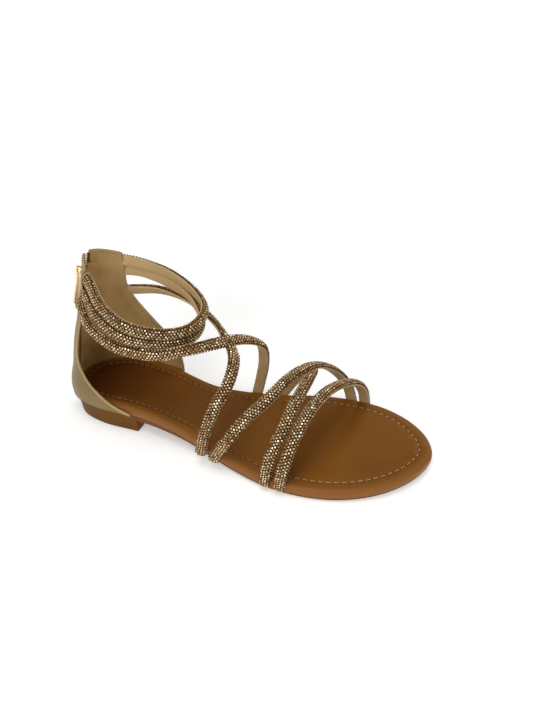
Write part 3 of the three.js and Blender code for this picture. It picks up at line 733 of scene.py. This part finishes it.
def strap_core(name, line):
    alone()
    bpy.ops.mesh.primitive_cylinder_add(vertices=28, radius=MM, depth=line.length * MM,
                                        rotation=(0, math.pi / 2, 0), location=(line.length / 2 * MM, 0, 0))
    core = named(name)
    bpy.ops.object.transform_apply()
    choose(core, "EDGE", lambda p: abs(p[0, 0] - p[1, 0]) > 1)
    bpy.ops.mesh.subdivide(number_cuts=int(line.length / 1.6))
    bpy.ops.object.mode_set(mode="OBJECT")

    def laid(p):
        across, out = section(np.arctan2(p[:, 2], p[:, 1]))
        out = np.where(p[:, 2] < 0, -LINING_PAD * out / STRAP_HEIGHT,
                       np.maximum(out - STONE_SINK, 0) * line.thinning(p[:, 0]))
        return line.lay(np.c_[p[:, 0], across * (1 - STONE_SINK / 4), out])

    wear(core, backing, strap_lining)
    for face in core.data.polygons:
        face.material_index = 1 if face.center.z < 0.2 * MM else 0
    press(core, laid)
    smooth(core, 50)
    return core


# %% [markdown]
# ## The stones
# The straps carry rows of small round stones, staggered like bricks. A stone is a cone with its
# tip cut off: eight crown facets and a flat table, which is enough to glint. It is added once,
# and its points are repeated along the strap in arrays, because thousands of separate objects would be
# slow. Every stone gets its own turn, a slight tilt and its own tint, a number that the finish reads.
# The tint also paints light: each table facet gets a bright tint, a painted glint, the crown facets round it
# a darker one, and the outermost rows are darker, a painted shade.

# %% One stone, and rows of them
GIRDLE, TABLE, STONE_DEEP = 0.82, 0.48, 0.7      # a stone's two radii and its height
ROWS, STONE_PITCH = 6, 1.85
ROW_MARGIN = 1.3       # from the strap's edge to the first row, in rows
alone()
bpy.ops.mesh.primitive_cone_add(vertices=8, radius1=GIRDLE * MM, radius2=TABLE * MM, depth=STONE_DEEP * MM,
                                location=(0, 0, STONE_DEEP / 2 * MM))
one_stone = named("one_stone")
bpy.ops.object.transform_apply()
STONE = points_of(one_stone)
STONE_FACES = [list(face.vertices) for face in one_stone.data.polygons]
TABLE_FACE = [face.normal.z > 0.9 for face in one_stone.data.polygons]
bpy.data.objects.remove(one_stone)


def stone_spots(line):
    """Every stone's place along the strap and round its section, and how near the edge its row is."""
    fine = np.linspace(0, math.pi, 200)
    arc = np.r_[0, np.cumsum(np.hypot(*np.diff(np.array(section(fine)), axis=1)))]
    spots = []
    for row in range(ROWS):
        angle = np.interp((row + ROW_MARGIN) / (ROWS + 1.6) * arc[-1], arc, fine)
        offset = 0.5 * (row % 2)
        for i in range(int(line.length / STONE_PITCH - offset)):
            spots.append((0.8 + (i + offset) * STONE_PITCH, angle, abs(2 * row / (ROWS - 1) - 1)))
    return np.array(spots).T


def stone_rows(name, line):
    along, angle, edge = stone_spots(line)
    count = len(along)
    along = along + chance.normal(0, 0.05, count)
    angle = angle + chance.normal(0, 0.012, count)

    def skin(a, t):
        """The surface that the stones are glued on."""
        across, out = section(t)
        return line.lay(np.c_[a, across * (1 - 0.08), np.maximum(out - 0.25, 0.2) * line.thinning(a)])

    middle = skin(along, angle)
    ahead = unit(skin(along + 0.4, angle) - middle)
    around = skin(along, angle - 0.08) - middle
    normal = unit(np.cross(around, ahead))
    above = line.lay(np.c_[along, np.zeros(count), np.full(count, 1.2)])
    normal *= np.sign(((middle - above) * normal).sum(1))[:, None]
    normal = unit(normal + chance.normal(0, 0.06, normal.shape))
    ahead = unit(np.cross(np.cross(normal, ahead), normal))
    third = np.cross(normal, ahead)
    turn = chance.uniform(0, math.pi / 4, count)
    c, s = np.cos(turn)[:, None], np.sin(turn)[:, None]
    e1, e2 = c * ahead + s * third, c * third - s * ahead
    points = (middle[:, None] + STONE[None, :, :1] * e1[:, None] + STONE[None, :, 1:2] * e2[:, None]
              + STONE[None, :, 2:] * normal[:, None])
    stones = repeated(name, points, STONE_FACES)
    # painted glint: every table facet gets a high tint and the crown facets a low one, so each stone shows a
    # bright dot; the spread between stones is random
    stone_tone_and_painted_light = np.where(TABLE_FACE, chance.normal(0.76, 0.24, (count, 1)),
                    chance.normal(0.36, 0.2, (count, len(STONE_FACES))))
    stone_tone_and_painted_light -= 0.28 * edge[:, None] ** 4     # painted shade: the outermost rows, which turn away from the lamps, are made darker
    mark(stones, "stone_tone_and_painted_light", np.clip(stone_tone_and_painted_light, 0, 1).ravel(), "FACE")
    return stones


# %% Lay every strap
STRAP_NODES = {
    "ankle_top": "ankle_strap_top", "ankle_low": "ankle_strap_low",
    "instep_to_inner": "instep_cross_straps", "instep_to_outer": "instep_cross_straps",
    "toe_long": "toe_cross_straps", "toe_return": "toe_cross_straps", "toe_front": "toe_front_strap"}
for name, line in lines.items():
    core = strap_core(f"{name}_core", line)
    on_shoe(core, "strap_stones", replaces=[STRAP_NODES[name]])
    stones = stone_rows(f"{name}_stones", line)
    on_shoe(stones, "strap_stones", stone)

# %% [markdown]
# ## The heel quarter
# The quarter is a curved wall of two skins, champagne leatherette outside and a duller lining inside,
# open at the back for the zip. A grid is its flat pattern: one direction runs up, the other runs round
# the heel from the outer wing to the inner wing. The faces over the zip are deleted while it is flat,
# so that the slot's sides stay straight. Then its points are moved onto the last, and Solidify gives
# the wall its thickness with a second material on the inside.

# %% Pattern of the quarter
def between(at, column):
    """Smooth value between the rows of the quarter's table."""
    k = QUARTER_COLUMNS.index(column)
    x, y = [row[0] for row in QUARTER], [row[k] for row in QUARTER]
    if at <= x[0] or at >= x[-1]:
        return y[0] if at <= x[0] else y[-1]
    i = next(n for n, value in enumerate(x) if value > at) - 1
    around = [(max(n - 1, 0), min(n + 1, len(x) - 1)) for n in (i, i + 1)]
    slope = [(y[b] - y[a]) / (x[b] - x[a]) for a, b in around]
    span = x[i + 1] - x[i]
    t = (at - x[i]) / span
    return (y[i] * (2 * t ** 3 - 3 * t ** 2 + 1) + slope[0] * span * (t ** 3 - 2 * t ** 2 + t)
            + y[i + 1] * (3 * t ** 2 - 2 * t ** 3) + slope[1] * span * (t ** 3 - t ** 2))


def quarter_spot(up, turn, depth=0.0):
    """Turn goes from -1 at the outer wing's front to 1 at the inner wing's; depth goes into the wall."""
    back, middle, side, half = (between(up, c) for c in ("back", "middle", "side", "half"))
    front = between(up, "outer_front" if turn < 0 else "inner_front")
    ahead = back + (front - back) * turn * turn
    reach = middle - back
    out = min(max((middle - ahead) / reach, 0), 1)
    sign = int(turn > 0) - int(turn < 0)
    free = side + sign * (half * math.sqrt(1 - out * out) - 0.05 * max(ahead - middle, 0))
    low, high = edges(max(ahead, HEEL_BACK[0] + 0.1))
    hugging = low - WALL - 2 * GAP if turn < 0 else high + WALL + 2 * GAP      # round the sole's edge
    t = min(max((up - 20) / 20, 0), 1)
    share = max(t * t * (3 - 2 * t), min(max(1 - 3 * abs(turn), 0), 1))
    outward = (-out / reach, sign * math.sqrt(1 - out * out) / half, 0) if sign else (-1, 0, 0)
    spot = np.array([ahead, hugging + (free - hugging) * share, up])
    return spot - depth * np.array(outward) / np.linalg.norm(outward)


def turn_at_slot(up, reach):
    """The turn at which the wall is that far to the side of the zip's middle."""
    low, high = 0.0, 0.6
    for _ in range(24):
        middle = (low + high) / 2
        if quarter_spot(up, middle)[1] - between(up, "side") < reach:
            low = middle
        else:
            high = middle
    return high


def wall_height(level, turn):
    """Height at a level from 0, just over the footbed's underside, to 1, the collar's top."""
    top = COLLAR_FRONT + COLLAR_RISE * (1 - turn * turn)
    low = float(footbed_under(quarter_spot(QUARTER[0][0], turn)[0])) + 2.3
    return low + (top - low) * level


# %% Wall, with its slot for the zip
ROUND, UP = 64, 48
FIRST = 2 / ROUND      # the column next to the middle, which ends at the slot's edge
alone()
bpy.ops.mesh.primitive_grid_add(x_subdivisions=ROUND, y_subdivisions=UP, size=2 * MM)
quarter = named("quarter_wall")


def wrapped(p):
    rows = []
    for u, v, _ in p:
        level, share = (v + 1) / 2, abs(u)
        slot_turn = turn_at_slot(wall_height(level, 0.2), ZIP_SLOT / 2)
        if share <= FIRST + 1e-6:
            turn = slot_turn * share / FIRST
        else:
            turn = slot_turn + (1 - slot_turn) * (share - FIRST) / (1 - FIRST)
        rows.append(quarter_spot(wall_height(level, turn), math.copysign(turn, u) if share > 1e-6 else 0.0))
    return np.array(rows)


choose(quarter, "FACE", lambda p: abs(p[:, 0]).max() < FIRST * 1.1
       and wall_height((p[:, 1].mean() + 1) / 2, 0.1) > ZIP_BOTTOM)
bpy.ops.mesh.delete(type="FACE")
bpy.ops.object.mode_set(mode="OBJECT")
press(quarter, wrapped)
outer_normal = sum((Vector(f.normal) for f in quarter.data.polygons if f.center.y < -0.015), Vector())
if outer_normal.y > 0:
    quarter.data.flip_normals()
wear(quarter, champagne, lining)
apply(quarter, "SOLIDIFY", thickness=WALL * MM, offset=-1, material_offset=1, material_offset_rim=0,
      use_even_offset=True)
smooth(quarter, 50)
on_shoe(quarter, "quarter_leatherette", replaces=["heel_quarter"])

# %% [markdown]
# The cut edges of the quarter are folded over, so they look like a bead. The bead is one tube for each
# wing, along the front edge and the top. Seams follow it at a small distance: two on the inner wing's
# lining, one on its outside.

# %% Rolled edges and seams of the quarter
WING_LONG, WING_TALL = 42, 90       # a wing from the zip to its front, and from the footbed to its top


def wing_edge(sign, depth, inset=0.0, bottom=0.0):
    """Line along a wing's front edge, up and then back along the top to the zip."""
    front, top = 1 - inset / WING_LONG, 1 - inset / WING_TALL
    slot = turn_at_slot(112, ZIP_SLOT / 2 + inset)
    path = [(level, front) for level in np.linspace(bottom, top, 60)]
    path += [(top, turn) for turn in np.linspace(front, slot, 30)[1:]]
    return even(np.array([quarter_spot(wall_height(level, turn), sign * turn, depth)
                          for level, turn in path]), 150)


bead = tubes("quarter_rolled_edge", [wing_edge(-1, WALL / 2), wing_edge(1, WALL / 2)], 0.92, 3)
on_shoe(bead, "quarter_leatherette", rolled_edge)
quarter_seams = []
for depth, inset, rise in ((WALL, 2.2, -0.12), (WALL, 3.6, -0.12), (0, 2.4, 0.12)):
    line, outside = wing_edge(1, depth, inset, 0.06), wing_edge(1, depth - 1, inset, 0.06)
    quarter_seams += stitch_lines(line, pitch=2.6, dash=1.8, rise=rise, outward=outside - line)
seams = tubes("quarter_stitches", quarter_seams, 0.2, 1)
on_shoe(seams, "quarter_leatherette", beige_thread)

# %% [markdown]
# ## Sleeves where the straps go in
# On the outer wing the straps come out of two slots, the two ankle straps out of the upper one. The
# leather is pulled over their ends there, so it stands up as a short sleeve with a rolled lip, and
# flattens into the wall behind it. A sleeve is a strip whose rows are the strap's own section, a
# little larger, sinking towards the wall. The zip's tapes and its guard are strips too.

# %% Sleeves over the strap ends
SLEEVE_LONG, SLEEVE_LIP, SLEEVE_SINK = 10, 2.2, 2.0     # its length, how far it comes out, its far end
STRAP_EDGE = 0.06      # the angle at which a strap's section starts


def strip(name, spots, thickness):
    """A strip of cloth or leather laid on rows of spots, with a rounded thickness."""
    rows, columns = len(spots), len(spots[0])
    alone()
    bpy.ops.mesh.primitive_grid_add(x_subdivisions=columns - 1, y_subdivisions=rows - 1, size=2)
    piece = named(name)
    flat = np.array(spots, float).reshape(-1, 3)
    press(piece, lambda p: flat)
    apply(piece, "SOLIDIFY", thickness=thickness * MM, offset=0)
    apply(piece, "BEVEL", width=thickness * 0.35 * MM, segments=2, limit_method="ANGLE",
          angle_limit=math.radians(50))
    outwards(piece)
    smooth(piece, 50)
    return piece


def cuff(name, straps):
    """Straps: which ones it covers, whether at their starts, and which angles of their sections."""
    rows = []
    for t in np.linspace(0, 1, 9):
        swell = t * t * (3 - 2 * t)
        along = SLEEVE_LIP - SLEEVE_LONG * (1 - t)
        row = []
        for line, at_start, angles in straps:
            across, out = section(angles)
            at = along if at_start else line.length - along
            row.append(line.lay(np.c_[np.full(len(angles), at), across * (0.95 + 0.17 * swell),
                                      out * (0.2 + 0.98 * swell) - SLEEVE_SINK * (1 - swell)]))
        rows.append(np.vstack(row))
    sleeve = strip(f"{name}_cuff", rows, 0.7)
    on_shoe(sleeve, "quarter_leatherette", champagne)
    lip = tubes(f"{name}_cuff_lip", [even(rows[-1], 40)], 0.55, 2)
    on_shoe(lip, "quarter_leatherette", rolled_edge)


cuff("ankle", [(lines["ankle_top"], False, np.linspace(STRAP_EDGE, 2.0, 11)),
               (lines["ankle_low"], False, np.linspace(1.1, math.pi - STRAP_EDGE, 11))])
cuff("instep", [(lines["instep_to_inner"], True, np.linspace(STRAP_EDGE, math.pi - STRAP_EDGE, 17))])

# %% [markdown]
# ## The zip
# Two woven tapes are sewn behind the slot, and each carries a row of metal teeth that mesh below the
# slider and part above it. The guard is a strip of lining that keeps the slider off the skin.

# %% Tapes and guard
def zip_spot(up, side, depth):
    return np.array([between(up, "back") + depth, between(up, "side") + side, up])


def parting(up):
    """How far each row of teeth has moved off the zip's middle line at that height."""
    return 0.1 + 1.5 * max(up - SLIDER_AT - 2, 0) / 12


TAPE_WIDE, TAPE_DEPTH, GUARD_DEPTH = 2.4, 0.9, WALL + 0.9
for hand, sign in (("outer", -1), ("inner", 1)):
    tape_rows = [[zip_spot(up, sign * (parting(up) + 0.2 + TAPE_WIDE * k / 3), TAPE_DEPTH) for k in range(4)]
                 for up in np.linspace(ZIP_BOTTOM + 0.4, 112.3, 40)]
    tape = strip(f"zip_tape_{hand}", tape_rows, 0.45)
    on_shoe(tape, "zip_cloth", tape_finish, replaces=["zip_tape"])

guard_rows = []
for up in np.linspace(ZIP_BOTTOM - 4, 107, 34):
    wide = 5.5 - 2.5 * min(max(60 - up, 0) / 20, 1)       # narrower near the heel
    row = []
    for k, side in enumerate(np.linspace(-4, wide + 3, 8)):
        turn = math.copysign(max(turn_at_slot(up, abs(side)), 0.001), side)
        row.append(quarter_spot(up + (1.5 - k) * 0.5, turn, GUARD_DEPTH))
    guard_rows.append(row)
guard = strip("zip_guard", guard_rows, 0.9)
on_shoe(guard, "quarter_leatherette", lining)

# %% Teeth
TOOTH_SIZE, TOOTH_ASIDE, TOOTH_DEPTH, TOOTH_PITCH = (1.1, 1.5, 0.75), 0.52, 0.75, 1.52
alone()
bpy.ops.mesh.primitive_cube_add(size=1)
one_tooth = named("one_tooth")
one_tooth.scale = [side * MM for side in TOOTH_SIZE]
bpy.ops.object.transform_apply()
choose(one_tooth, "EDGE", lambda p: True)
bpy.ops.mesh.bevel(offset=0.14 * MM, segments=1)
bpy.ops.object.mode_set(mode="OBJECT")
TOOTH = points_of(one_tooth)
TOOTH_FACES = [list(face.vertices) for face in one_tooth.data.polygons]
bpy.data.objects.remove(one_tooth)
tooth_points = []
for sign, start in ((-1, 1.2), (1, 1.2 + TOOTH_PITCH / 2)):      # the inner row meshes half a pitch higher
    for up in ZIP_BOTTOM + start + TOOTH_PITCH * np.arange(51):
        if abs(up - SLIDER_AT) >= 4.5 and up <= 112:
            tooth_points.append(TOOTH + zip_spot(up, sign * (TOOTH_ASIDE + parting(up)), TOOTH_DEPTH))
teeth = repeated("zip_teeth", np.array(tooth_points), TOOTH_FACES)
on_shoe(teeth, "zip_cloth", tooth_metal)

# %% [markdown]
# The slider and its pull are right as packed, so they stay. Their corners are too sharp for plated
# metal: their loose triangles are welded and a small bevel is put on, as live modifiers, which leave
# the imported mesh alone.

# %% Slider and pull
for name in ("zip_slider", "zip_pull"):
    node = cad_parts[name]
    weld = node.modifiers.new("weld", "WELD")
    weld.merge_threshold = 0.01 * MM
    soften = node.modifiers.new("soften", "BEVEL")
    soften.width, soften.segments, soften.limit_method = 0.22 * MM, 2, "ANGLE"
    soften.angle_limit = math.radians(50)
    node.data.materials.clear()
    node.data.materials.append(gold.material)
    print(name, "plated")
